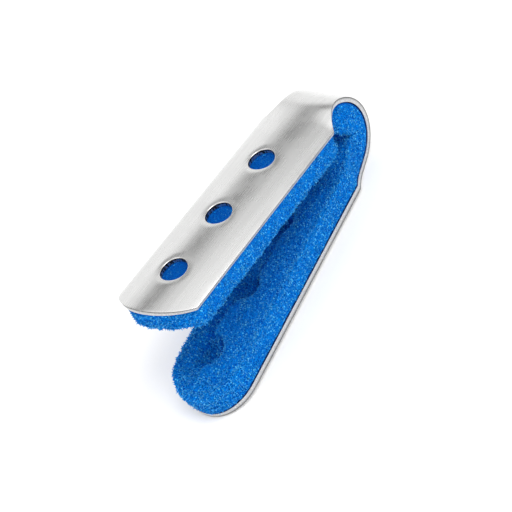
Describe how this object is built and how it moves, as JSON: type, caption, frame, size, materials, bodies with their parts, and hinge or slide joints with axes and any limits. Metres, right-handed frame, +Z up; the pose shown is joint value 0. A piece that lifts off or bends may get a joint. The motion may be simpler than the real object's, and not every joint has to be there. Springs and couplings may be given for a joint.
{
  "type": "folded finger splint",
  "caption": "Folded aluminium finger splint with a narrow bent neck, two perforated channelled legs and a blue foam lining.",
  "frame": {"origin": "under the middle of the splint's bounding box, on the surface that it lies on", "axes": "+X along the legs towards the fold, +Y across the strip towards the upper leg's rounded corner, +Z up from the lower leg to the upper leg"},
  "size_m": [0.0736, 0.0196, 0.0338],
  "materials": {
    "satin_aluminium": "satin, rolled along the strip",
    "blue_foam": "matt open-cell foam"
  },
  "bodies": {
    "root": {"aluminium_strip": "satin_aluminium", "foam_lining": "blue_foam"}
  },
  "joints": []
}
